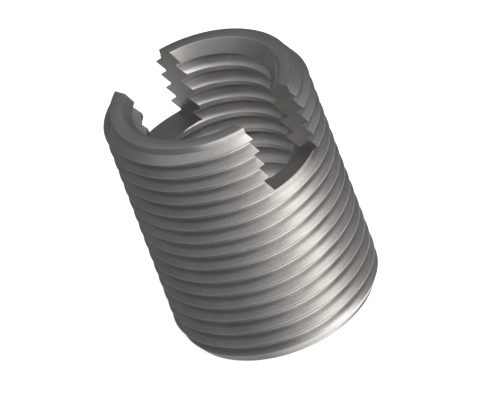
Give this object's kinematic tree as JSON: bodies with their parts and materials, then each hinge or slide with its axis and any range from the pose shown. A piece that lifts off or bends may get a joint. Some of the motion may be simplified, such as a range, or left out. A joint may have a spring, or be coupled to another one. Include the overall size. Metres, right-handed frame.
{
  "type": "self-tapping threaded insert",
  "caption": "Slotted self-tapping threaded insert: a steel bush with a fine outer cutting thread, a tapped through bore and a cross slot at its lead-in end.",
  "frame": {"origin": "centre of the lower, unslotted end face, on the axis", "axes": "+Z along the axis towards the slotted end, X along the slot"},
  "size_m": [0.016, 0.016, 0.0204],
  "materials": {
    "steel": "satin turned steel, uncoated"
  },
  "bodies": {
    "root": {"insert": "steel"}
  },
  "joints": []
}
